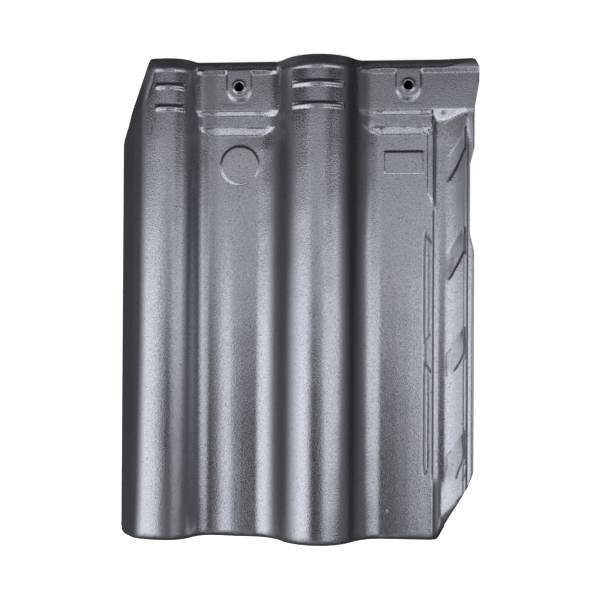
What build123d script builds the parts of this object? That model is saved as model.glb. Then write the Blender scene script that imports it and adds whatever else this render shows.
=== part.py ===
from build123d import *
import os
from math import acos, asin, atan2, cos, hypot, sin, sqrt

os.makedirs("parts", exist_ok=True)

# Interlocking double-roll roof tile, fired as one piece and glazed on its weather face.
# X runs across the tile, Y up the slope to the head, Z out of the weather face.
# All sizes are in millimetres. The tile lies on Z = 0, centred on X = 0 and Y = 0.

# Whole tile
tile_length = 400.0
tile_width = 300.0
body_thickness = 11.0

# Side roll, which laps over the neighbour's side channel
side_roll_height = 23.0
side_roll_crest_radius = 23.0
side_roll_foot_radius = 19.0
side_roll_inset = 42.0
crown_radius = 65.0
crown_width = 23.0
shoulder_radius = 14.0
lip_drop = 3.0
lip_foot_width = 6.5

# Middle roll
mid_roll_height = 31.0
mid_roll_crest_radius = 33.0
mid_roll_foot_radius = 28.0
roll_pitch = 125.5

# Low swell along the left pan, which dies out towards the head
swell_height = 3.0
swell_rise_run = 20.0
swell_rounding = 70.0
swell_length = 330.0

# Side channel: a small lip at the pan's edge, a rounded valley, a sloped flange and an outer rim
channel_width = 33.8
channel_lip_drop = 1.2
channel_lip_run = 0.8
channel_lip_rounding = 0.5
channel_depth = 3.0
channel_valley_offset = 7.5
channel_rounding = 12.0
rim_height = 4.0
rim_width = 6.8
rim_step = 0.8
flange_thickness = 8.0
ear_reach = 3.5
ear_length = 40.0
edge_rounding = 2.0

# Drain pockets in the flange
pocket_count = 4
pocket_pitch = 87.0
pocket_first = 56.0
pocket_length = 18.0
pocket_width = 13.5
pocket_slant = 24.5
pocket_depth = 2.0

# Border along the pan's edge below the lower step, then drip grooves in line with it
border_width = 4.7
border_height = 1.4
border_from_head = 119.0
border_point = 8.0
groove_width_radius = 2.2
groove_depth = 0.9
groove_offset = 5.7
groove_spans = ((145.0, 91.0), (257.0, 90.0))

# Head: two steps in the pans, a head rib, weather bars over the rolls and a bevel
lower_step_height = 3.0
lower_step_from_head = 56.0
lower_step_run = 5.5
upper_step_height = 2.0
upper_step_from_head = 42.5
upper_step_run = 4.0
head_rib_height = 1.2
head_rib_run = 3.8
head_bevel_run = 8.0
head_bevel_drop = 5.0
bar_height = 1.0
bar_width = 4.8
bar_half_angle = 40.0
bar_outer_angle = 7.0
bar_positions = (24.5, 42.3)

# Nail holes in raised pads
nail_hole_diameter = 7.5
nail_spacing = 141.4
nail_shift = 3.5
nail_from_head = 22.2
pad_width = 20.0
pad_rake = 3.0
pad_collar_width = 1.8
pad_collar_height = 0.7

# Corner cuts and their bevels, and the eased tail edge
head_cut_width = 26.5
head_cut_length = 52.5
head_jog_width = 7.0
head_jog_length = 14.0
head_corner_bevel = 9.5
head_corner_toe = 7.0
head_corner_slope = 0.75
tail_cut_width = 29.5
tail_cut_length = 45.5
tail_jog_width = 4.6
tail_jog_length = 12.0
tail_corner_bevel = 7.0
tail_corner_slope = 0.75
tail_bevel_run = 2.5
tail_bevel_drop = 2.0
tail_rounding = 6.0
cut_rounding = 4.0
side_rounding = 5.0

# Shallow notch in the outer side
notch_start = 74.0
notch_end = 160.0
notch_depth = 3.5
notch_ramp = 14.0

# Batten nibs under the head
nib_depth = 10.0
nib_width = 40.0
nib_length = 12.0

# Levels and places that follow from the sizes above
left = -tile_width / 2
ear_edge = tile_width / 2
right = ear_edge - ear_reach
head = tile_length / 2
tail = -tile_length / 2
pan = nib_depth + body_thickness
under = nib_depth
half_depth = body_thickness / 2
middle = pan + lower_step_height
upper = middle + upper_step_height
rib_top = upper + head_rib_height
lower_y = head - lower_step_from_head
upper_y = head - upper_step_from_head
rib_y = head - head_bevel_run
pan_edge = right - channel_width
valley_x = pan_edge + channel_valley_offset
channel_floor = pan - channel_depth
rim_start = right - rim_width
rim_top = pan + rim_height
rim_back = rim_top - flange_thickness


# Point on a circle, turned from straight up towards +X, and an arc between two such points
def rim_point(centre, radius, turn):
    return (centre[0] + radius * sin(turn), centre[1] + radius * cos(turn))


def bow(centre, radius, start, end):
    return ThreePointArc(*(rim_point(centre, radius, turn) for turn in (start, (start + end) / 2, end)))


# One roll: a crest arc and, down to a given level, foot arcs that touch it
class Roll:
    def __init__(self, x, crest_z, crest_radius, foot_radius, level):
        self.x = x
        self.crest_z = crest_z
        self.crest_radius = crest_radius
        self.foot_radius = foot_radius
        self.level = level
        self.axis_z = crest_z - crest_radius
        self.foot_z = level + foot_radius
        self.angle = acos((self.foot_z - self.axis_z) / (crest_radius + foot_radius))
        self.half_base = (crest_radius + foot_radius) * sin(self.angle)

    def foot(self, side):
        return self.x + side * self.half_base

    def bend(self, side, depth):
        return rim_point((self.x, self.axis_z), self.crest_radius - depth, side * self.angle)

    def crest_arc(self, depth, start, end):
        axis = (self.x, self.axis_z)
        return bow(axis, self.crest_radius - depth, start * self.angle, end * self.angle)

    def flank(self, depth, z):
        return sqrt((self.foot_radius + depth) ** 2 - (self.foot_z - z) ** 2)

    def foot_arc(self, side, depth):
        radius = self.foot_radius + depth
        half = self.angle / 2
        foot = self.foot(side)
        middle_point = (foot - side * radius * sin(half), self.foot_z - radius * cos(half))
        return ThreePointArc(self.bend(side, depth), middle_point, (foot, self.foot_z - radius))

    # A place inside the wall of the flank, for a floor that runs into it at a given level
    def inside(self, side, level):
        reach = (self.flank(0, level) + self.flank(body_thickness, self.level - half_depth)) / 2
        return self.foot(side) - side * reach


side_crest = pan + side_roll_height
side_roll = Roll(left + side_roll_inset, side_crest, side_roll_crest_radius, side_roll_foot_radius, pan)
mid_crest = pan + mid_roll_height
mid_roll = Roll(side_roll.x + roll_pitch, mid_crest, mid_roll_crest_radius, mid_roll_foot_radius, pan)

# Outer half of the side roll: a wide crown, a tight shoulder and a straight flank down to the lip
crown_centre = (side_roll.x, side_roll.crest_z - crown_radius)
shoulder_turn = -asin(crown_width / crown_radius)
shoulder_centre = rim_point(crown_centre, crown_radius - shoulder_radius, shoulder_turn)
lip_outer = (left, pan - lip_drop)
lip_inner = (left + lip_foot_width, pan - lip_drop)


# Turn at which a straight flank from the lip touches the shoulder
def flank_turn(radius, lip):
    across_gap = lip[0] - shoulder_centre[0]
    down_gap = lip[1] - shoulder_centre[1]
    return atan2(across_gap, down_gap) + acos(radius / hypot(across_gap, down_gap))


def outer_half(depth, lip):
    turn = flank_turn(shoulder_radius - depth, lip)
    return [
        Line(lip, rim_point(shoulder_centre, shoulder_radius - depth, turn)),
        bow(shoulder_centre, shoulder_radius - depth, turn, shoulder_turn),
        bow(crown_centre, crown_radius - depth, shoulder_turn, 0),
    ]


# Section of the body: weather face from the lip to the rim, then back along the underside
rim_side = (right, rim_top - flange_thickness / 2)
rolls_face = outer_half(0, lip_outer) + [
    side_roll.crest_arc(0, 0, 1),
    side_roll.foot_arc(1, 0),
    Line((side_roll.foot(1), pan), (mid_roll.foot(-1), pan)),
    mid_roll.foot_arc(-1, 0),
    mid_roll.crest_arc(0, -1, 1),
    mid_roll.foot_arc(1, 0),
]
channel_face = FilletPolyline(
    (mid_roll.foot(1), pan),
    (pan_edge, pan),
    (pan_edge + channel_lip_run, pan - channel_lip_drop),
    (valley_x, channel_floor),
    (rim_start, rim_top - rim_step),
    (rim_start + rim_step, rim_top),
    (right, rim_top),
    rim_side,
    radius=(
        channel_lip_rounding,
        channel_lip_rounding,
        channel_rounding,
        channel_lip_rounding,
        channel_lip_rounding,
        edge_rounding,
    ),
)
channel_back = FilletPolyline(
    rim_side,
    (right, rim_back),
    (rim_start, rim_back),
    (valley_x, under),
    (mid_roll.foot(1), under),
    radius=edge_rounding,
)
underside = outer_half(body_thickness, lip_inner) + [
    side_roll.crest_arc(body_thickness, 0, 1),
    side_roll.foot_arc(1, body_thickness),
    Line((side_roll.foot(1), under), (mid_roll.foot(-1), under)),
    mid_roll.foot_arc(-1, body_thickness),
    mid_roll.crest_arc(body_thickness, -1, 1),
    mid_roll.foot_arc(1, body_thickness),
    Line(lip_inner, lip_outer),
]
section = make_face(rolls_face + [channel_face, channel_back] + underside)
head_plane = Plane.XZ.offset(-head)
tail_plane = Plane.XZ.offset(-tail)
body = extrude(head_plane * section, tile_length)

# Swell of the left pan: the same width all along, and lower towards the head
buried = pan - half_depth
swell_start = side_roll.foot(1)
swell_end = mid_roll.inside(-1, pan + swell_height)
swell_toe = pan - swell_height / 5


def swell_face(top):
    outline = FilletPolyline(
        (swell_start, swell_toe),
        (swell_start + swell_rise_run, top),
        (swell_end, top),
        radius=swell_rounding,
    )
    sides = Polyline((swell_end, top), (swell_end, buried), (swell_start, buried), (swell_start, swell_toe))
    return make_face([outline, sides])


swell_tail = swell_face(pan + swell_height)
swell_head = swell_face(pan)
body += loft([tail_plane * swell_tail, Plane.XZ.offset(-(tail + swell_length)) * swell_head], ruled=True)


def across(face, start, end):
    return extrude(Plane.YZ.offset(start) * face, end - start)


# Steps and head rib in the pans: each ramp climbs to a flat floor that runs into the flanks
ramps = (
    (lower_y, lower_step_run, pan, middle),
    (upper_y, upper_step_run, middle, upper),
    (rib_y, head_rib_run, upper, rib_top),
)
for start, run, low, level in ramps:
    ramp = make_face(
        Polyline(
            (start - run, buried),
            (start - run, low),
            (start, level),
            (head, level),
            (head, buried),
            close=True,
        )
    )
    body += across(ramp, side_roll.inside(1, level), mid_roll.inside(-1, level))
    body += across(ramp, mid_roll.inside(1, level), pan_edge)

# Head plate that closes the side channel and carries the ear
plate_section = make_face(
    Polyline(
        (pan_edge - channel_lip_run, buried),
        (valley_x, (under + channel_floor) / 2),
        (rim_start, rim_top - flange_thickness / 2),
        (rim_start, rim_back),
        (ear_edge, rim_back),
        (ear_edge, rib_top),
        (pan_edge - channel_lip_run, rib_top),
        close=True,
    )
)
plate_profile = make_face(
    Polyline(
        (upper_y - (upper - under), under),
        (upper_y, upper),
        (rib_y - head_rib_run, upper),
        (rib_y, rib_top),
        (head, rib_top),
        (head, under),
        close=True,
    )
)
body += extrude(head_plane * plate_section, tile_length) & across(plate_profile, 0, ear_edge)

# Weather bars over the crests
bar_base = bar_width / 2
bar_slope = bar_height * 1.4
bar_face = make_face(
    Polyline(
        (-bar_base, -bar_height),
        (-bar_base, 0),
        (-bar_base + bar_slope, bar_height),
        (bar_base - bar_slope, bar_height),
        (bar_base, 0),
        (bar_base, -bar_height),
        close=True,
    )
)
bar_arcs = (
    (side_roll, side_roll.crest_radius, 0, bar_half_angle),
    (side_roll, crown_radius, bar_outer_angle, bar_outer_angle),
    (mid_roll, mid_roll.crest_radius, bar_half_angle, 2 * bar_half_angle),
)
for roll, radius, back, turn in bar_arcs:
    for place in bar_positions:
        bar_plane = Plane((roll.x, head - place, roll.crest_z), (0, 1, 0), (1, 0, 0))
        axis = Axis((roll.x, head - place, roll.crest_z - radius), (0, 1, 0))
        bar = revolve(bar_plane * bar_face, axis, turn)
        body += bar.rotate(axis, -back)

# Drain pockets, cut as slanted wedges that are deepest at the rim
flange_rise = rim_top - rim_step - channel_floor
flange_run = rim_start - valley_x
for index in range(pocket_count):
    pocket_y = head - pocket_first - index * pocket_pitch
    drain_x = rim_start - pocket_width
    drain_y = pocket_y - pocket_slant
    rim_edge = [(rim_start, pocket_y), (rim_start, pocket_y - pocket_length)]
    drain_edge = [(drain_x, drain_y - pocket_length), (drain_x, drain_y)]
    drain_top = rim_top - rim_step - flange_rise * pocket_width / flange_run
    pocket_outline = make_face(Polyline(rim_edge + drain_edge, close=True))
    pocket = extrude(Plane.XY.offset(channel_floor) * pocket_outline, 2 * flange_rise)
    floor_face = make_face(
        Polyline(
            (drain_x - 1, drain_top),
            (rim_start + 1, rim_top - rim_step - pocket_depth),
            (rim_start + 1, rim_top + flange_rise),
            (drain_x - 1, rim_top + flange_rise),
            close=True,
        )
    )
    body -= pocket & extrude(head_plane * floor_face, tile_length)

# Border of the pan's edge, pointed at its lower end
border_start = pan_edge - border_width
border_tip = head - border_from_head
border_face = make_face(
    Polyline(
        (border_start, lower_y),
        (pan_edge, lower_y),
        (pan_edge, border_tip),
        (border_start, border_tip + border_point),
        close=True,
    )
)
body += extrude(Plane.XY.offset(buried) * border_face, half_depth + border_height)

# Drip grooves with rounded ends
groove_z = pan + groove_width_radius - groove_depth
groove_x = pan_edge - groove_offset
for start, length in groove_spans:
    first = head - start - groove_width_radius
    last = head - start - length + groove_width_radius
    groove = Pos(groove_x, (first + last) / 2, groove_z) * Rot(90, 0, 0) * Cylinder(
        groove_width_radius, first - last
    )
    for end in (first, last):
        groove += Pos(groove_x, end, groove_z) * Sphere(groove_width_radius)
    body -= groove

# Raised nail pads, raked towards the tail, with a collar round each hole
nail_y = head - nail_from_head
nail_middle = mid_roll.x + nail_shift
nail_places = (nail_middle - nail_spacing / 2, nail_middle + nail_spacing / 2)
collar_radius = nail_hole_diameter / 2 + pad_collar_width
pad_foot = 2 * pad_rake
for nail_x in nail_places:
    pad = Pos(nail_x, nail_y - pad_foot, 0) * Circle(pad_width / 2)
    pad += Pos(nail_x, (nail_y - pad_foot + rib_y) / 2, 0) * Rectangle(pad_width, rib_y - nail_y + pad_foot)
    rise = 2 * head_rib_height
    body += extrude(Plane.XY.offset(rib_top - rise) * pad, hypot(pad_foot, rise), dir=(0, pad_foot, rise))
    body += Pos(nail_x, nail_y, rib_top - pad_collar_height) * Cone(
        collar_radius + 2 * pad_collar_height,
        collar_radius - pad_collar_width / 2,
        2 * pad_collar_height,
        align=(Align.CENTER, Align.CENTER, Align.MIN),
    )

# Batten nibs under the pans at the head
left_nib_x = (side_roll.foot(1) + mid_roll.foot(-1)) / 2
right_nib_x = (mid_roll.foot(1) + valley_x) / 2
for nib_x in (left_nib_x, right_nib_x):
    nib = Pos(nib_x, head - nib_length / 2, 0) * Rectangle(nib_width, nib_length)
    body += extrude(nib, under + half_depth / 2)

# Nail holes, square to the pans
for nail_x in nail_places:
    body -= Pos(nail_x, nail_y, pan) * Cylinder(nail_hole_diameter / 2, 4 * body_thickness)


# Bevel along a whole edge: the sky over the weather face, swept out of the tile along a falling line
def edge_bevel(sky, edge, outward, run, drop):
    start = Plane.XZ.offset(-(edge - 1.5 * outward * run))
    lifted = Pos(0, 0, drop / 2) * (start * sky)
    return extrude(lifted, 3 * hypot(run, drop), dir=(0, outward * run, -drop))


crown = max(side_crest, mid_crest)
sky_side = tile_width
sky_depth = 2 * crown
sky = Rectangle(2 * sky_side, 2 * sky_depth)
rolls_ground = make_face(
    rolls_face
    + [
        Polyline(
            (mid_roll.foot(1), pan),
            (sky_side / 2 + ear_reach, pan),
            (sky_side / 2 + ear_reach, -sky_depth),
            (left, -sky_depth),
            lip_outer,
        )
    ]
)
tail_ground = make_face(
    rolls_face + [channel_face, Polyline(rim_side, (right, -sky_depth), (left, -sky_depth), lip_outer)]
)
plate_ground = make_face(
    Polyline(
        (pan_edge - channel_lip_run, rib_top),
        (valley_x, rib_top),
        (ear_edge, rib_top + head_bevel_drop),
        (sky_side, rib_top + head_bevel_drop),
        (sky_side, -sky_depth),
        (pan_edge - channel_lip_run, -sky_depth),
        close=True,
    )
)
rib_start = side_roll.inside(1, rib_top)
rib_ground = Pos(rib_start, rib_top) * Rectangle(
    pan_edge - rib_start, rib_top + sky_depth, align=(Align.MIN, Align.MAX)
)
head_sky = sky - rolls_ground - rib_ground - plate_ground
tail_sky = sky - tail_ground - swell_tail
body -= edge_bevel(head_sky, head, 1, head_bevel_run, head_bevel_drop)
body -= edge_bevel(tail_sky, tail, -1, tail_bevel_run, tail_bevel_drop)


# Height of the side roll's outer half, and of the channel's flange
def roll_height(x):
    centre, radius = crown_centre, crown_radius
    if x < side_roll.x - crown_width:
        centre, radius = shoulder_centre, shoulder_radius
    return centre[1] + sqrt(radius ** 2 - (x - centre[0]) ** 2)


def flange_height(x):
    return channel_floor + max(0, x - valley_x) * flange_rise / flange_run


# Flat bevel on a corner cut, from an inner line down to the cut's edge
def corner_bevel(start, end, outward, slope):
    along = Vector(end) - Vector(start)
    down = Vector(outward[0], outward[1], -slope)
    normal = along.cross(down)
    if normal.Z < 0:
        normal = -normal
    plane = Plane(start, along, normal)
    cut = Rectangle(along.length + tail_cut_length, crown, align=(Align.MIN, Align.CENTER))
    return extrude(plane * cut, crown)


head_cut_start = Vector(left + head_jog_width, head - head_cut_length)
head_cut_end = Vector(left + head_cut_width, head)
head_cut_along = (head_cut_end - head_cut_start).normalized()
head_cut_out = (-head_cut_along.Y, head_cut_along.X)
toe_point = head_cut_start - Vector(*head_cut_out) * head_corner_toe
rib_point = head_cut_end - Vector(*head_cut_out) * head_corner_bevel
body -= corner_bevel(
    (toe_point.X, toe_point.Y, roll_height(toe_point.X)),
    (rib_point.X, rib_point.Y, roll_height(rib_point.X)),
    head_cut_out,
    head_corner_slope,
)
tail_cut_start = Vector(right - tail_cut_width, tail)
tail_cut_end = Vector(right - tail_jog_width, tail + tail_cut_length)
tail_cut_along = (tail_cut_end - tail_cut_start).normalized()
tail_cut_out = (tail_cut_along.Y, -tail_cut_along.X)
notch_point = tail_cut_start + tail_cut_along * (tail_cut_length / 3)
top_point = tail_cut_start + tail_cut_along * (tail_cut_length * 0.8)
inner_point = notch_point - Vector(*tail_cut_out) * tail_corner_bevel
body -= corner_bevel(
    (inner_point.X, inner_point.Y, flange_height(inner_point.X)),
    (top_point.X, top_point.Y, flange_height(top_point.X)),
    tail_cut_out,
    tail_corner_slope,
)

# Plan outline with the two corner cuts, the ear and the shallow notch in the side
outline = make_face(
    FilletPolyline(
        (left, tail),
        (left, head - head_cut_length - head_jog_length),
        (left + head_jog_width, head - head_cut_length),
        (left + head_cut_width, head),
        (ear_edge - ear_reach, head),
        (ear_edge, head - ear_length / 5),
        (ear_edge, head - ear_length / 2),
        (right, head - ear_length),
        (right, head - notch_start),
        (right - notch_depth, head - notch_start - notch_ramp),
        (right - notch_depth, head - notch_end + notch_ramp),
        (right, head - notch_end),
        (right, tail + tail_cut_length + tail_jog_length),
        (right - tail_jog_width, tail + tail_cut_length),
        (right - tail_cut_width, tail),
        radius=[tail_rounding] + 3 * [cut_rounding] + 9 * [side_rounding] + 2 * [cut_rounding],
        close=True,
    )
)
body = extrude(outline, 2 * crown) & body

export_step(body, "parts/roof_tile.step")
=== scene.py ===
import math

import bpy
import numpy as np
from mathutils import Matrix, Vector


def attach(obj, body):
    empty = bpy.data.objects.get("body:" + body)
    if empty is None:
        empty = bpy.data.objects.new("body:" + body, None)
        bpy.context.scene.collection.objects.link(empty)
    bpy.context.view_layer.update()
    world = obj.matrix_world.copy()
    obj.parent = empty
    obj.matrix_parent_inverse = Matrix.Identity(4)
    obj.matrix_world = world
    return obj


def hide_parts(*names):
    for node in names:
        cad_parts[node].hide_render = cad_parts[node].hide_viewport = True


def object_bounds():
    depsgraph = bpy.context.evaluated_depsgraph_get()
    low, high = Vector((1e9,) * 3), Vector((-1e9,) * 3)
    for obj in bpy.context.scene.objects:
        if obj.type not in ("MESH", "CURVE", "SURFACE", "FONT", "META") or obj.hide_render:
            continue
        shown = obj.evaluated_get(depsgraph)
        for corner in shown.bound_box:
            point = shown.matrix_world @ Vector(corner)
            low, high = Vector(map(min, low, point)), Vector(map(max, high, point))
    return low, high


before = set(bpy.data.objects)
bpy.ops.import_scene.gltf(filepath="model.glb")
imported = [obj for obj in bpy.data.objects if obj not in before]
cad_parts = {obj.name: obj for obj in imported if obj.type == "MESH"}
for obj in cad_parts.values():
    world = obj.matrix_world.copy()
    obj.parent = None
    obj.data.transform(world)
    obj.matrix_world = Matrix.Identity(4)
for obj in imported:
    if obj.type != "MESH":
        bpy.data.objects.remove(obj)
cad_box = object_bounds()

# Roof tile: one slab of clay, pressed between two moulds, dried and fired as one piece.
# The press leaves soft edges and the kiln leaves faint waves, so the shape is taken over
# from the pressed form and then eased, with the same rolls, pans, steps and channel.
bpy.ops.object.select_all(action="DESELECT")
pressed_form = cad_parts["roof_tile"]
tile = pressed_form.copy()
tile.data = pressed_form.data.copy()
tile.name = "glazed_tile"
tile.data.name = "glazed_tile"
tile.parent = None
for key in list(tile.keys()):
    del tile[key]
bpy.context.scene.collection.objects.link(tile)
tile.select_set(True)
bpy.context.view_layer.objects.active = tile

bpy.ops.object.mode_set(mode="EDIT")
bpy.ops.mesh.select_all(action="SELECT")
bpy.ops.mesh.remove_doubles(threshold=0.00001)
bpy.ops.object.mode_set(mode="OBJECT")

# The press mould and the glaze round every edge by about a millimetre.
edge_ease = 0.00075
remesh = tile.modifiers.new("press", "REMESH")
remesh.mode = "VOXEL"
remesh.voxel_size = edge_ease
bpy.ops.object.modifier_apply(modifier=remesh.name)

# Section of the weather face, in millimetres: a side roll with a wide crown, the left pan,
# the middle roll and the right pan. It is drawn as arcs: centre, radius and side.
pan_z = 21.0
side_x, side_z = -108.0, 44.0
mid_x, mid_z = 17.5, 52.0
side_turn = math.acos(1 - 23.0 / 42.0)
mid_turn = math.acos(1 - 31.0 / 61.0)
crown_turn = math.asin(23.0 / 65.0)
shoulder = (side_x - 51.0 * math.sin(crown_turn), side_z - 65.0 + 51.0 * math.cos(crown_turn))
side_bend = side_x + 23.0 * math.sin(side_turn)
side_foot = side_x + 42.0 * math.sin(side_turn)
mid_bend = 33.0 * math.sin(mid_turn)
mid_foot = 61.0 * math.sin(mid_turn)
section_arcs = (
    (-138.0, side_x - 23.0, shoulder, 14.0, 1),
    (side_x - 23.0, side_x, (side_x, side_z - 65.0), 65.0, 1),
    (side_x, side_bend, (side_x, side_z - 23.0), 23.0, 1),
    (side_bend, side_foot, (side_foot, pan_z + 19.0), 19.0, -1),
    (mid_x - mid_foot, mid_x - mid_bend, (mid_x - mid_foot, pan_z + 28.0), 28.0, -1),
    (mid_x - mid_bend, mid_x + mid_bend, (mid_x, mid_z - 33.0), 33.0, 1),
    (mid_x + mid_bend, mid_x + mid_foot, (mid_x + mid_foot, pan_z + 28.0), 28.0, -1),
)


def section(x):
    z = np.full_like(x, pan_z)
    for start, end, centre, radius, side in section_arcs:
        on = (x >= start) & (x < end)
        z[on] = centre[1] + side * np.sqrt(np.maximum(radius ** 2 - (x[on] - centre[0]) ** 2, 0.0))
    return z


# Two surfaces that meet in a soft hollow instead of a sharp crease
def soft_rise(low, high, width):
    near = np.maximum(width - np.abs(low - high), 0.0) / width
    return np.maximum(low, high) + near * near * width / 4


def fade(value, start, end):
    part = np.clip((value - start) / (end - start), 0.0, 1.0)
    return part * part * (3 - 2 * part)


# How far the face sags or swells away from the drawn section near the tail, at places across
sag_x = (
    -150, -95, -91, -88, -85, -82, -79, -77.7, -75, -72.8, -70.5, -68.5, -66, -63.5, -60, -57.5, -55,
    -52.4, -47.3, -42.2, -37.1, -34, -32, -29, -26.8, -21.5, -16.1, -10.4, -4.8, 0.4, 5, 12, 15, 20,
    29.8, 39, 44, 48.8, 53.6, 56, 58.5, 63.5, 68.5, 75, 83, 93, 103, 108, 112.7, 120, 139,
)
sag_z = (
    0, 0, -0.3, -0.7, -1.0, -1.1, -1.1, -1.05, -0.9, -0.72, -0.65, -0.6, -0.45, -0.15, 0.4, 0.85, 1.2,
    1.45, 1.8, 2.0, 2.15, 2.25, 2.38, 2.58, 2.68, 2.9, 2.95, 2.4, 1.2, 0.4, 0.1, 0.2, 0.25, 0.1,
    0.3, 0.7, 1.2, 2.1, 1.8, 1.4, 1.0, 0.7, 0.45, 0.3, 0.1, -0.4, -1.2, -1.7, -2.1, -1.6, 0,
)
sag_fine = np.arange(-160.0, 160.0, 0.25)
sag_line = np.interp(sag_fine, sag_x, sag_z)
window = np.hanning(25)
sag_line = np.convolve(sag_line, window / window.sum(), mode="same")

flat = np.zeros(len(tile.data.vertices) * 3)
tile.data.vertices.foreach_get("co", flat)
to_mm = 1000.0
place = flat.reshape(-1, 3) * to_mm
facing = np.zeros(len(tile.data.vertices) * 3, np.float32)
tile.data.vertex_normals.foreach_get("vector", facing)
facing = facing.reshape(-1, 3)
x, y, z = place[:, 0].copy(), place[:, 1].copy(), place[:, 2].copy()
drawn = section(x)
weather = (facing[:, 2] > 0.2) & (z > drawn - 9.0)

# Main face below the steps; the low swell of the left pan is drawn again further down
face_tail, face_head = -196.5, 136.4
pan_end = 104.0
rolls = (x > -136.0) & (x < pan_end)
near_tail = np.flatnonzero(weather & rolls & (np.abs(y + 195.2) < 0.8))
near_tail = near_tail[np.argsort(x[near_tail])]
swell = np.interp(x, x[near_tail], (z - drawn)[near_tail])
main = weather & rolls & (y > face_tail) & (y < face_head) & (np.abs(z - drawn) < 4.0)
z[main] = drawn[main]
tail_strip = rolls & (y <= face_tail) & (z > drawn - 7.0)
z[tail_strip] -= (swell * np.clip((z - drawn + 7.0) / 7.0, 0.0, 1.0))[tail_strip]

# Steps of the pans run into the rolls in a soft hollow
level = np.interp(y, (137.6, 144.0, 153.5, 157.5, 188.2, 192.0), (21.0, 24.0, 24.0, 26.0, 26.0, 27.2))
stepped = np.maximum(drawn, level)
hollow = soft_rise(drawn, level, np.maximum(1.2 * (level - pan_z), 0.1))
roll_from = 29.0
off_bars = (np.minimum(np.abs(y - 175.5), np.abs(y - 157.7)) > 3.6) | (drawn < roll_from)
left_hole, right_hole, hole_y = -49.7, 91.7, 177.8
off_pads = (np.minimum(np.abs(x - left_hole), np.abs(x - right_hole)) > 13.0) | (y < 163.0)
steps = weather & (x > -120.0) & (x < pan_end) & (y >= face_head) & (y < 191.5) & off_bars & off_pads
steps &= np.abs(z - stepped) < 0.6
z[steps] = hollow[steps]

# A thin ledge where the dark head edge of the rolls begins
ledge = 0.45 * fade(y, 187.6, 189.4) * (1.0 - fade(y, 190.0, 197.0))
z += np.where(weather & (drawn > roll_from) & (y < 197.0), ledge, 0.0)


# Distance from a bent line across the face, in millimetres: negative on its right-hand side
def line_gap(points):
    nearest = np.full_like(x, 1e6)
    for (ax, ay), (bx, by) in zip(points, points[1:]):
        dx, dy = bx - ax, by - ay
        part = np.clip(((x - ax) * dx + (y - ay) * dy) / (dx * dx + dy * dy), 0.0, 1.0)
        gap = np.hypot(x - ax - part * dx, y - ay - part * dy)
        side = np.where(dx * (y - ay) - dy * (x - ax) < 0, -1.0, 1.0)
        nearest = np.where(gap < np.abs(nearest), gap * side, nearest)
    return nearest


# Drip groove in the edge of the right pan, pinched in the middle and cut off slantwise
by_groove = weather & (x > 103.5) & (x < 111.8) & (y > -160.0) & (y < 62.0)
z[by_groove] = pan_z
groove_cuts = (
    (((106.3, 53.0), (106.0, 40.0), (106.0, -28.0), (106.3, -36.0)), 0.8, 1.3),
    (((106.3, -36.0), (106.3, -53.0)), 0.45, 1.0),
    (((106.3, -53.0), (106.0, -62.0), (106.0, -139.0), (106.6, -144.5)), 0.8, 1.3),
    (((108.8, 46.0), (108.7, -32.0)), 0.3, 0.9),
    (((108.7, -58.0), (108.6, -140.0)), 0.3, 0.9),
    (((106.3, 55.5), (107.9, 51.5), (111.3, 47.2)), 0.5, 0.9),
    (((110.1, -29.4), (106.2, -35.2)), 0.45, 0.9),
    (((106.5, -53.5), (111.1, -60.9)), 0.45, 0.9),
)
scores = np.zeros_like(x)
for points, depth, half in groove_cuts:
    scores = np.maximum(scores, depth * np.clip(1.0 - np.abs(line_gap(points)) / half, 0.0, 1.0))
z[by_groove] -= scores[by_groove]

# Side channel: a small step down from the pan, a soft valley and a flange that rises to the rim.
# Near the head a border stands up beside it; near the tail the valley runs closer to the pan.
across = np.arange(100.0, 150.0, 0.1)
smooth = np.hanning(13)
smooth /= smooth.sum()
lines = []
for at, heights in (
    ((112.0, 112.3, 114.0, 114.8, 116.6, 118.0, 120.0, 122.0, 123.5, 125.0, 127.0, 150.0),
     (21.0, 20.95, 19.7, 19.4, 18.87, 18.65, 18.58, 18.66, 18.9, 19.32, 19.98, 27.48)),
    ((111.9, 115.6, 118.0, 120.0, 122.0, 123.5, 125.0, 127.0, 150.0),
     (22.4, 18.75, 18.65, 18.58, 18.66, 18.9, 19.32, 19.98, 27.48)),
    ((113.0, 113.8, 116.0, 117.5, 119.0, 120.5, 121.8, 125.0, 127.0, 150.0),
     (21.0, 20.4, 18.4, 17.9, 17.75, 17.95, 18.3, 19.32, 19.98, 27.48)),
):
    line = np.convolve(np.interp(across, at, heights), smooth, mode="same")
    lines.append(np.interp(x, across, line))
border_on = fade(y, 73.0, 82.0)
tail_on = 1.0 - fade(y, -160.0, -146.0)
channel_z = lines[0] + border_on * (lines[1] - lines[0]) + tail_on * (lines[2] - lines[0])

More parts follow.
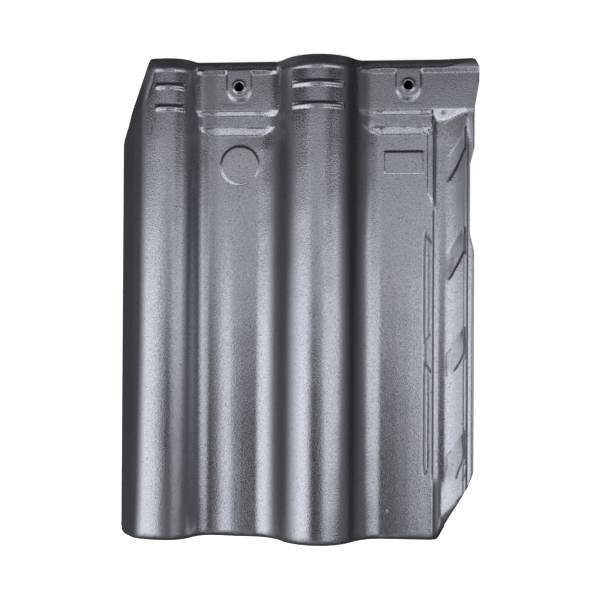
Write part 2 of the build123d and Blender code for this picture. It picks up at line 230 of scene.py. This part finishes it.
# Four drain pockets in the flange: each floor sinks from its upper edge to a short steep step
pockets = (
    (
        ((138.3, 144.1), (137.0, 136.3), (125.2, 119.7)),
        ((139.0, 144.1), (138.8, 126.3), (131.7, 110.2), (126.0, 100.3)),
    ),
    (
        ((137.7, 59.5), (131.8, 51.1), (124.1, 39.0)),
        ((138.6, 60.2), (138.4, 41.0), (133.3, 30.4), (126.4, 17.6)),
    ),
    (
        ((138.0, -23.5), (131.0, -33.0), (124.3, -44.0)),
        ((138.6, -22.7), (138.7, -42.6), (135.4, -50.4), (131.0, -58.2)),
    ),
    (
        ((138.7, -109.5), (131.5, -118.5), (125.0, -129.0)),
        ((139.2, -108.5), (139.1, -129.1), (134.4, -140.1), (132.5, -147.7)),
    ),
)
sunk = np.zeros_like(x)
for upper, lower in pockets:
    from_upper, from_lower = line_gap(upper), line_gap(lower)
    floor_on = (from_upper > 0) & (from_lower < 0)
    floor_part = np.abs(from_upper) / (np.abs(from_upper) + np.abs(from_lower) + 0.01)
    sink = 1.4 if lower[0][1] > 0 else 0.8
    depth = sink * np.where(floor_on, floor_part, np.clip(1.0 - np.abs(from_lower) / 0.9, 0.0, 1.0))
    near = fade(x, 121.0, 131.0) * fade(y, lower[-1][1] - 6.0, lower[-1][1] + 4.0)
    near *= 1.0 - fade(y, lower[0][1] - 1.0, lower[0][1] + 1.0)
    sunk = np.maximum(sunk, depth * near)
channel_z -= sunk

# The channel ends at the head in a slope that meets valley and flange in a V
end_slope = 26.0 - 0.8 * (158.5 - y)
in_channel = weather & (x > 112.0) & (x < 139.3) & (y < 158.3) & (y > -199.0)
z[in_channel] = np.maximum(channel_z, end_slope)[in_channel]

# Rim: two fine lines at its foot, a face that leans inwards and a bevel where the tail corner is cut
outer_score = 0.6 * np.clip(1.0 - np.abs(x - 140.6), 0.0, 1.0)
inner_score = 0.35 * np.clip(1.0 - np.abs(x - 138.7) / 0.9, 0.0, 1.0)
rim_scores = (outer_score + inner_score) * (1.0 - fade(y, 146.0, 152.0))
z -= np.where(weather & (x > 137.0) & (x < 142.0), rim_scores, 0.0)
rim = weather & (x > 140.1) & (x < 147.0) & (z > 23.0)
z[rim] -= (2.0 * np.clip((145.6 - x) / 5.2, 0.0, 1.0) * (1.0 - fade(y, 130.0, 150.0)))[rim]
bevel = (((132.9, -166.3), (119.5, -181.0)), ((119.5, -181.0), (118.6, -192.2)))
bevel_gap = np.minimum(line_gap(bevel[0]), line_gap(bevel[1]))
z -= np.where(weather & (x > 116.0) & (y > -196.0) & (y < -160.0), 0.45 * np.clip(bevel_gap, 0.0, 6.0), 0.0)

# Two bare plates pressed a little proud of the pans: a round one and an oblong one
disc_gap = np.hypot(x + 49.3, y - 112.6)
oblong_gap = np.maximum(np.abs(x - 88.2) - 16.0, np.abs(y - 114.3) - 9.2)
disc_rise, oblong_rise = 0.85, 0.95
plate_rise = disc_rise * (1.0 - fade(disc_gap, 15.5, 16.7))
plate_rise += oblong_rise * (1.0 - fade(oblong_gap, -0.6, 0.6))
z[main] += plate_rise[main]

# Sag near the tail and the faint waves of the kiln
sag = np.interp(x, sag_fine, sag_line) * (1.0 - 0.85 * fade(y, -40.0, 110.0)) * (1.0 - fade(y, 125.0, 138.0))
waves = np.random.default_rng(7)
wave_height, wave_width, full_turn = 0.05, 70.0, 6.28
for length in (34.0, 47.0, 61.0, 83.0):
    turn, phase = waves.uniform(0, math.pi), waves.uniform(0, full_turn, 2)
    along = (x * math.cos(turn) + y * math.sin(turn)) / length * full_turn
    crossing = (y * math.cos(turn) - x * math.sin(turn)) / wave_width
    sag += wave_height * np.sin(along + phase[0]) * np.sin(crossing + phase[1])
z += np.where(weather, sag, 0.0)

place[:, 2] = z
tile.data.vertices.foreach_set("co", (place / to_mm).ravel())
tile.data.update()

ease = tile.modifiers.new("ease", "SMOOTH")
ease.factor = 0.4
ease.iterations = 1
bpy.ops.object.modifier_apply(modifier=ease.name)

# The back is plainer than the weather face, so its faces are thinned first
face_limit = 192000
back = tile.vertex_groups.new(name="back")
back.add([int(i) for i in np.flatnonzero(~weather)], 1.0, "REPLACE")
back.add([int(i) for i in np.flatnonzero(weather)], 0.5, "REPLACE")
thin = tile.modifiers.new("thin", "DECIMATE")
thin.ratio = min(1.0, face_limit / sum(len(p.vertices) - 2 for p in tile.data.polygons))
thin.vertex_group = "back"
thin.vertex_group_factor = 0.00001
bpy.ops.object.modifier_apply(modifier=thin.name)
bpy.ops.object.shade_smooth()

# Nothing stands out of the pressed form's own box
flat = np.zeros(len(tile.data.vertices) * 3)
tile.data.vertices.foreach_get("co", flat)
low, high = (np.array(corner) for corner in cad_box)
tile.data.vertices.foreach_set("co", np.clip(flat.reshape(-1, 3), low, high).ravel())
tile.data.update()

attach(tile, "root")
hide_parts("roof_tile")


# Metal-lustre stoneware glaze, sprayed on the weather face before firing: a soft grey mirror
# with fine grain and small pits, thin and dull on steep flanks and worn edges, where painted shade
# also darkens its colour, and with painted highlights along small slopes.
# The back stays bare fired clay, a matt pinkish buff, and the glaze thins unevenly at both ends.
def linear(code):
    channels = [int(code[i:i + 2], 16) / 255 for i in (1, 3, 5)]
    return [c / 12.92 if c <= 0.04045 else ((c + 0.055) / 1.055) ** 2.4 for c in channels] + [1.0]


def add(material, kind, settings=None, values=None, links=None):
    node = material.node_tree.nodes.new(kind)
    for name, value in (settings or {}).items():
        setattr(node, name, value)
    for name, value in (values or {}).items():
        node.inputs[name].default_value = value
    for name, socket in (links or {}).items():
        material.node_tree.links.new(socket, node.inputs[name])
    return node


# Where the glaze lies, where it is thin and where shade and highlights are painted, kept on the mesh
count = len(tile.data.vertices)
flat = np.zeros(count * 3)
tile.data.vertices.foreach_get("co", flat)
place = flat.reshape(-1, 3) * to_mm
facing = np.zeros(count * 3, np.float32)
tile.data.vertex_normals.foreach_get("vector", facing)
facing = facing.reshape(-1, 3)
x, y = place[:, 0], place[:, 1]


def lumps(size, seed):
    knots = np.random.default_rng(seed).uniform(-1.0, 1.0, (int(460 / size), int(460 / size)))
    u, v = (x + 220.0) / size, (y + 220.0) / size
    i, j = u.astype(int), v.astype(int)
    s, t = fade(u - i, 0.0, 1.0), fade(v - j, 0.0, 1.0)
    low = knots[j, i] * (1 - s) + knots[j, i + 1] * s
    return low * (1 - t) + (knots[j + 1, i] * (1 - s) + knots[j + 1, i + 1] * s) * t


uneven = lumps(5.0, 3) + 0.6 * lumps(2.2, 4)
half_length = 200.0
head_gap = half_length - y + 0.8 * uneven
tail_gap = y + half_length + 0.5 * uneven
head_cut_gap = (x + 123.5) * 0.9378 - (y - half_length) * 0.3474
tail_cut_gap = (117.0 - x) * 0.839 + (y + half_length) * 0.544
bevel_gap = np.minimum(line_gap(bevel[0]), line_gap(bevel[1]))
head_band = 5.0 + 5.0 * fade(section(x), 27.0, 33.0)
outer_line = np.interp(y, (-200.0, -168.0, -42.0, 83.0, 150.0), (-130.3, -128.8, -126.8, -126.4, -126.0))
inner_face = np.interp(y, (-170.0, -115.0, -40.0, 26.0, 64.0), (0.42, 0.4, 0.2, 0.08, 0.0))
inner_start = np.interp(y, (-170.0, -110.0), (-114.0, -106.0))
flange_painted_shade = np.interp(y, (20.0, 80.0), (0.2, 0.45))
head_part = fade(y, 20.0, 110.0)
tail_on = 1.0 - fade(y, -158.0, -146.0)
valley_end = np.interp(y, (-185.0, -150.0), (119.0, 122.0))
# Painted shade: bands at both ends, the cut corners, flanks, valleys and channel lines are darkened in the
# colour, partly standing for thinner glaze
thin_and_shaded_places = (
    1.0 - fade(tail_gap, 2.0, 5.5),
    0.9 * (1.0 - fade(head_gap, head_band - 0.8, head_band + 0.8)),
    0.75 * (1.0 - fade(head_cut_gap, 6.5, 8.5)) * fade(y, 140.0, 150.0),
    0.85 * (1.0 - fade(tail_cut_gap, 2.5, 5.0)) * (1.0 - fade(y, -162.0, -156.0)),
    0.96 * (1.0 - fade(x, outer_line - 5.0, outer_line + 4.0)),
    inner_face * fade(x - inner_start, 0.0, 6.0) * (1.0 - fade(x, -94.0, -88.0)),
    (0.15 + 0.2 * fade(y, 120.0, 150.0)) * fade(x, -81.0, -77.0) * (1.0 - fade(x, -72.0, -66.0)),
    flange_painted_shade * fade(x, 126.0, 137.0) * (1.0 - fade(x, 138.6, 139.6)) * (1.0 - fade(y, 150.0, 156.0)),
    0.6 * (1.0 - fade(np.hypot(x - 120.8, 1.3 * (y - 155.2)), 1.0, 3.2)),
    (0.45 + 0.2 * head_part) * fade(x, 36.0, 42.0) * (1.0 - fade(x - 5.0 * head_part, 52.0, 58.0)),
    0.6 * tail_on * fade(x, 113.2, 114.4) * (1.0 - fade(x - valley_end, -1.5, 0.3)),
    0.8 * fade(bevel_gap, 0.2, 1.0) * fade(x, 116.0, 118.0) * (1.0 - fade(y, -166.0, -163.0)),
    0.65 * fade(x, -27.0, -17.0) * (1.0 - fade(x, -8.0, 6.0)) * (1.0 - fade(y, 120.0, 150.0)),
)
for points, amount, half in (
    [(lower, 0.85 if lower[0][1] > 0 else 0.65, 0.9) for upper, lower in pockets]
    + [(points, 0.8 * depth, half) for points, depth, half in groove_cuts]
    + [
        (((113.0, 74.0), (113.0, -144.0)), 0.7, 1.1),
        (((127.8, -40.9), (124.3, -45.4), (124.6, -63.5)), 0.45, 0.8),
        (((127.9, -125.9), (125.1, -129.8), (124.9, -141.4)), 0.45, 0.8),
        (((140.0, -143.0), (137.7, -149.0)), 0.7, 1.0),
    ]
):
    thin_and_shaded_places += (amount * (1.0 - fade(np.abs(line_gap(points)), 0.3 * half, 1.2 * half)),)
# Steep flanks are darkened as well: thinner glaze there, and painted shade
steep = 1.0 - fade(np.sqrt(1.0 - np.minimum(facing[:, 0] ** 2, 1.0)), 0.58, 0.9)
inner_side = fade(x, -106.0, -98.0) * (1.0 - fade(x, -74.0, -66.0))
inner_side *= 1.0 - np.interp(y, (-170.0, -42.0, 83.0, 178.0), (0.45, 0.08, 0.2, 0.6))
inner_middle = fade(x, -40.0, -34.0) * (1.0 - fade(x, 6.0, 12.0))
full = 1.0 - steep * (1.0 - inner_side) * (1.0 - 0.2 * inner_middle)
for amount in thin_and_shaded_places:
    full = full * (1.0 - amount)
thinness_and_painted_shade = 1.0 - np.maximum(full, 0.0)
inside = fade(x, -147.0, -144.0) * (1.0 - fade(x, 136.0, 139.0)) * (1.0 - fade(np.abs(y), 193.0, 197.0))
hole_gap = np.minimum(np.hypot(x - left_hole, y - hole_y), np.hypot(x - right_hole, y - hole_y))
inside *= fade(hole_gap, 5.0, 7.0)
covered = 1.0 - inside * (1.0 - fade(facing[:, 2], -0.75, -0.45))

# Painted highlights along small hollows and edges, and a chip near the tail shows pale
painted_highlight = np.zeros_like(x)
for points, amount, half in (
    (((112.1, 154.7), (117.2, 149.9), (126.3, 151.4), (132.7, 154.9), (138.6, 158.6)), 0.3, 1.6),
    (((110.9, 85.0), (113.0, 79.5), (114.8, 74.0)), 0.5, 1.0),
    (((110.9, 85.0), (109.2, 78.0)), 0.35, 0.9),
    (pockets[0][0], 0.5, 1.1),
    (pockets[1][0], 0.3, 1.0),
    (((107.3, 40.0), (107.3, -140.0)), 0.4, 0.7),
):
    painted_highlight = np.maximum(painted_highlight, amount * (1.0 - fade(np.abs(line_gap(points)), 0.3 * half, 1.3 * half)))
chipped = 1.0 - fade(np.hypot(x - 75.6, (y + 176.1) * 1.3), 0.7, 1.5)
layers = (("glaze_thin_and_painted_shade", thinness_and_painted_shade), ("glaze_cover", covered), ("glaze_painted_highlight", painted_highlight), ("glaze_chip", chipped))
for name, amount in layers:
    layer = tile.data.attributes.new(name, "FLOAT", "POINT")
    layer.data.foreach_set("value", amount.astype(np.float32))

glaze = bpy.data.materials.new("metal_lustre_glaze")
glaze.use_nodes = True
shader = glaze.node_tree.nodes["Principled BSDF"]
spot = add(glaze, "ShaderNodeTexCoord")

# Grain of the glaze, about 1.3 mm, as coarse as the picture can show it
grain = add(glaze, "ShaderNodeTexNoise", None, {"Scale": 1 / 0.0013, "Detail": 3.0, "Roughness": 0.65},
            {"Vector": spot.outputs["Object"]})
grain_shade = add(glaze, "ShaderNodeMapRange", None, {1: 0.3, 2: 0.7, 3: 0.81, 4: 1.16},
                  {0: grain.outputs["Fac"]})

# Cloudy patches, 25 to 60 mm, where the spray lay thicker
cloud = add(glaze, "ShaderNodeTexNoise", None, {"Scale": 1 / 0.045, "Detail": 2.0, "Roughness": 0.5},
            {"Vector": spot.outputs["Object"]})
cloud_tint = add(glaze, "ShaderNodeMix", {"data_type": "RGBA"},
                 {6: linear("#979ca6"), 7: linear("#a1a3aa")}, {0: cloud.outputs["Fac"]})

# Steep flanks catch less spray, so the glaze is thinner there, and painted shade darkens the colour on them
# and in the listed bands
thin_and_shade_attr = add(glaze, "ShaderNodeAttribute", {"attribute_name": "glaze_thin_and_painted_shade"})
thin_and_painted_shade = add(glaze, "ShaderNodeMapRange", None, {1: 0.0, 2: 1.0, 3: 1.0, 4: 0.14},
                 {0: thin_and_shade_attr.outputs["Fac"]})

# Small dark pits, about 5.5 mm apart
pits = add(glaze, "ShaderNodeTexVoronoi", None, {"Scale": 1 / 0.0055}, {"Vector": spot.outputs["Object"]})
pit_shade = add(glaze, "ShaderNodeMapRange", None, {1: 0.08, 2: 0.16, 3: 0.6, 4: 1.0},
                {0: pits.outputs["Distance"]})
grain_pits = add(glaze, "ShaderNodeMath", {"operation": "MULTIPLY"}, None,
                 {0: grain_shade.outputs[0], 1: pit_shade.outputs[0]})
shade = add(glaze, "ShaderNodeMath", {"operation": "MULTIPLY"}, None,
            {0: thin_and_painted_shade.outputs[0], 1: grain_pits.outputs[0]})
thick_and_unshaded = add(glaze, "ShaderNodeMath", {"operation": "SUBTRACT"}, {0: 1.0}, {1: thin_and_shade_attr.outputs["Fac"]})
gloss = add(glaze, "ShaderNodeMath", {"operation": "MULTIPLY"}, {1: 0.5}, {0: thick_and_unshaded.outputs[0]})

# Painted highlight: the colour is brightened up to 1.8 times along these lines
highlight_attr = add(glaze, "ShaderNodeAttribute", {"attribute_name": "glaze_painted_highlight"})
highlight_lift = add(glaze, "ShaderNodeMapRange", None, {1: 0.0, 2: 1.0, 3: 1.0, 4: 1.8},
                 {0: highlight_attr.outputs["Fac"]})
full_shade = add(glaze, "ShaderNodeMath", {"operation": "MULTIPLY"}, None,
                 {0: shade.outputs[0], 1: highlight_lift.outputs[0]})
lustre = add(glaze, "ShaderNodeVectorMath", {"operation": "SCALE"}, None,
             {0: cloud_tint.outputs[2], "Scale": full_shade.outputs[0]})

# Bare clay of the back, with 3 mm specks
speck = add(glaze, "ShaderNodeTexNoise", None, {"Scale": 1 / 0.003, "Detail": 4.0, "Roughness": 0.7},
            {"Vector": spot.outputs["Object"]})
clay = add(glaze, "ShaderNodeMix", {"data_type": "RGBA"}, {6: linear("#a5826c"), 7: linear("#c3a28a")},
           {0: speck.outputs["Fac"]})
cover = add(glaze, "ShaderNodeAttribute", {"attribute_name": "glaze_cover"})
skin = add(glaze, "ShaderNodeMix", {"data_type": "RGBA"}, None,
           {0: cover.outputs["Fac"], 6: clay.outputs[2], 7: lustre.outputs[0]})
chip = add(glaze, "ShaderNodeAttribute", {"attribute_name": "glaze_chip"})
colour = add(glaze, "ShaderNodeMix", {"data_type": "RGBA"}, {7: linear("#f3f1ec")},
             {0: chip.outputs["Fac"], 6: skin.outputs[2]})
whole = add(glaze, "ShaderNodeMath", {"operation": "SUBTRACT"}, {0: 1.0}, {1: chip.outputs["Fac"]})
glazed = add(glaze, "ShaderNodeMath", {"operation": "MULTIPLY"}, None,
             {0: cover.outputs["Fac"], 1: whole.outputs[0]})
mirror = add(glaze, "ShaderNodeMath", {"operation": "MULTIPLY"}, None,
             {0: glazed.outputs[0], 1: thick_and_unshaded.outputs[0]})
rough = add(glaze, "ShaderNodeMapRange", None, {1: 0.3, 2: 0.7, 3: 0.29, 4: 0.2}, {0: grain.outputs["Fac"]})
rough_all = add(glaze, "ShaderNodeMix", {"data_type": "FLOAT"}, {2: 0.9},
                {0: cover.outputs["Fac"], 3: rough.outputs[0]})
bump = add(glaze, "ShaderNodeBump", None, {"Strength": 0.55, "Distance": 0.00025},
           {"Height": grain.outputs["Fac"]})
for socket, name in ((colour.outputs[2], "Base Color"), (mirror.outputs[0], "Metallic"),
                     (gloss.outputs[0], "Specular IOR Level"),
                     (rough_all.outputs[0], "Roughness"), (bump.outputs[0], "Normal")):
    glaze.node_tree.links.new(socket, shader.inputs[name])
tile.data.materials.clear()
tile.data.materials.append(glaze)

# Floor: a flat sheet of matt white paper that the tile lies on, as bright as on a light table.
# Under the tile it gives off no light, and two near-black strips of painted shadow lie there, one below the
# nail holes.
bpy.ops.object.select_all(action="DESELECT")
bpy.ops.mesh.primitive_plane_add(size=12.0, location=(0, 0, 0))
floor = bpy.context.active_object
floor.name = "floor"
paper = bpy.data.materials.new("white_paper")
paper.use_nodes = True
sheet = paper.node_tree.nodes["Principled BSDF"]
sheet.inputs["Roughness"].default_value = 0.9
sheet.inputs["Emission Color"].default_value = linear("#ffffff")
light_path = add(paper, "ShaderNodeLightPath")
seen = add(paper, "ShaderNodeMath", {"operation": "MAXIMUM"}, None,
           {0: light_path.outputs["Is Camera Ray"], 1: light_path.outputs["Is Glossy Ray"]})
seen_all = add(paper, "ShaderNodeMath", {"operation": "MAXIMUM"}, None,
               {0: seen.outputs[0], 1: light_path.outputs["Is Transmission Ray"]})
paper_spot = add(paper, "ShaderNodeTexCoord")
paper_mid = add(paper, "ShaderNodeVectorMath", {"operation": "SUBTRACT"}, {1: (0.0, 0.02, 0.0)},
                {0: paper_spot.outputs["Object"]})
paper_size = add(paper, "ShaderNodeVectorMath", {"operation": "ABSOLUTE"}, None, {0: paper_mid.outputs[0]})
paper_side = add(paper, "ShaderNodeSeparateXYZ", None, None, {0: paper_size.outputs[0]})
beyond_x = add(paper, "ShaderNodeMapRange", None, {1: 0.11, 2: 0.12}, {0: paper_side.outputs["X"]})
beyond_y = add(paper, "ShaderNodeMapRange", None, {1: 0.165, 2: 0.173}, {0: paper_side.outputs["Y"]})
beyond = add(paper, "ShaderNodeMath", {"operation": "MAXIMUM"}, None,
             {0: beyond_x.outputs[0], 1: beyond_y.outputs[0]})
lit = add(paper, "ShaderNodeMath", {"operation": "MULTIPLY"}, None,
          {0: seen_all.outputs[0], 1: beyond.outputs[0]})
lift = add(paper, "ShaderNodeMath", {"operation": "MULTIPLY"}, {1: 0.75}, {0: lit.outputs[0]})
# Painted shadow: near-black strips on the paper under the tile
shadow_strip = add(paper, "ShaderNodeMapRange", None, {1: 0.14, 2: 0.148}, {0: paper_side.outputs["Y"]})
hidden = add(paper, "ShaderNodeMath", {"operation": "SUBTRACT"}, {0: 1.0}, {1: beyond.outputs[0]})
dark = add(paper, "ShaderNodeMath", {"operation": "MULTIPLY"}, None,
           {0: shadow_strip.outputs[0], 1: hidden.outputs[0]})
paper_shade = add(paper, "ShaderNodeMix", {"data_type": "RGBA"}, {6: linear("#f4f4f4"), 7: linear("#181818")},
                  {0: dark.outputs[0]})
paper.node_tree.links.new(paper_shade.outputs[2], sheet.inputs["Base Color"])
paper.node_tree.links.new(lift.outputs[0], sheet.inputs["Emission Strength"])
floor.data.materials.append(paper)


# Studio: soft boxes, which are lamps behind white cloth, stand left, right, low on the right and
# at the tail. One panel hangs above the head half of the tile and a dim one beyond the head.
def softbox(name, place, aim, width, length, radiance, spin=0.0):
    lamp = bpy.data.lights.new(name, "AREA")
    lamp.shape = "RECTANGLE"
    lamp.size = width
    lamp.size_y = length
    lamp.energy = math.pi * width * length * radiance
    box = bpy.data.objects.new(name, lamp)
    bpy.context.scene.collection.objects.link(box)
    box.location = place
    reach = [a - p for a, p in zip(aim, place)]
    box.rotation_mode = "ZXY"
    box.rotation_euler = (
        math.atan2(reach[1], math.hypot(reach[0], reach[2])),
        -math.atan2(reach[0], -reach[2]),
        spin,
    )


softbox("left_softbox", (-1.011, -0.55, 0.744), (0, -0.55, 0), 1.47, 1.5, 1.88)
softbox("right_softbox", (0.813, -0.15, 1.024), (0.02, -0.15, 0.03), 1.15, 0.66, 1.58, 0.25)
softbox("right_low_softbox", (1.35, -0.02, 0.45), (0, -0.02, 0.03), 0.55, 0.5, 0.7)
softbox("tail_softbox", (0, -1.435, 1.082), (0, 0.14, 0.02), 1.6, 1.2, 1.8)
softbox("ceiling_panel", (-0.06, 0.19, 1.4), (-0.06, 0.19, 0), 1.4, 0.46, 0.95)
softbox("head_panel", (0, 0.75, 1.4), (0, 0.75, 0), 1.8, 0.6, 0.16)

world = bpy.data.worlds.new("studio")
bpy.context.scene.world = world
world.use_nodes = True
world.node_tree.nodes["Background"].inputs["Color"].default_value = linear("#ffffff")
world.node_tree.nodes["Background"].inputs["Strength"].default_value = 0.05

camera_data = bpy.data.cameras.new("camera")
camera_data.sensor_width = 36.0
camera_data.lens = 61.006
camera = bpy.data.objects.new("camera", camera_data)
bpy.context.scene.collection.objects.link(camera)
camera.location = (0.06696, -0.00851, 0.87202)
camera.rotation_euler = tuple(math.radians(v) for v in (0.544, 4.359, 0.297))
bpy.context.scene.camera = camera
bpy.context.scene.view_settings.view_transform = "Standard"
